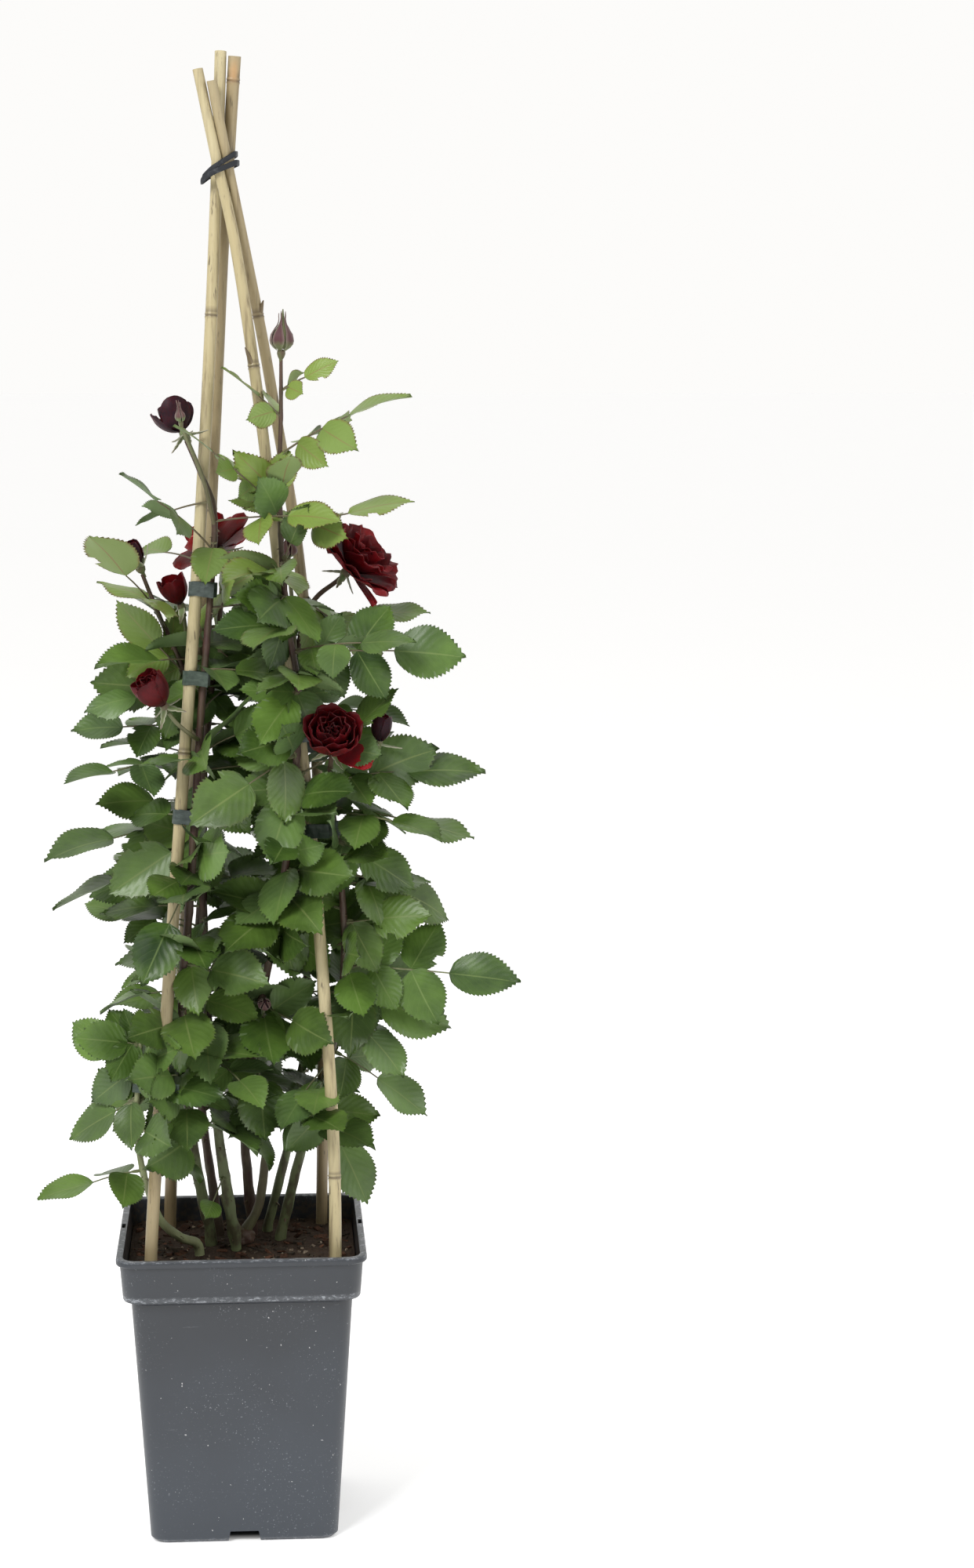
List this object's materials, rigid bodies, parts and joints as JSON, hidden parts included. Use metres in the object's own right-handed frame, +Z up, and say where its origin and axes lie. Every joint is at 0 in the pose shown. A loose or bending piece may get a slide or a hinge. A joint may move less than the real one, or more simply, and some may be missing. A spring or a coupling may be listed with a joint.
{
  "type": "potted climbing rose",
  "caption": "Climbing rose with deep crimson blooms in a square tapered nursery pot, trained up bamboo canes that lean together and are banded at the top.",
  "frame": {"origin": "centre of the pot's base, on the surface it stands on", "axes": "+Z up along the pot and the canes; +X to the right and +Y to the back as seen from the front, square to the pot's sides"},
  "size_m": [0.3883, 0.2466, 1.1914],
  "materials": {
    "pot": "satin slate-grey moulded plastic, scuffed",
    "soil": "rough, damp bark compost",
    "bamboo": "satin tan bamboo with dark nodes",
    "band": "matte near-black rubber",
    "tape": "satin grey-green tie tape",
    "rose_wood": "rough green-brown bark",
    "petal": "velvety deep crimson",
    "bud": "satin purple-crimson",
    "foliage": "satin green leaf"
  },
  "bodies": {
    "root": {"pot": "pot", "soil": "soil", "cane_front_left": "bamboo", "cane_back_left": "bamboo", "cane_front_right": "bamboo", "cane_back_right": "bamboo", "cane_band": "band", "tie_1": "tape", "tie_2": "tape", "tie_3": "tape", "tie_4": "tape", "tie_5": "tape", "tie_6": "tape", "tie_7": "tape", "tie_8": "tape", "rose_crown": "rose_wood", "bloom_bud_top": "bud", "bloom_opening": "petal", "bloom_side_bud": "bud", "bloom_wide": "petal", "bloom_half_open": "petal", "bloom_half_hidden": "petal", "bloom_large": "petal", "bloom_dark_bud": "bud", "bloom_cupped": "petal", "bloom_rosette": "petal", "bloom_low_bud": "petal", "bloom_dried": "bud", "shoot_front_left": "foliage", "shoot_left_inner": "foliage", "shoot_right_top": "foliage", "shoot_right_outer": "foliage", "shoot_back_right": "foliage", "shoot_back_left": "foliage", "shoot_low_left": "foliage"}
  },
  "joints": []
}
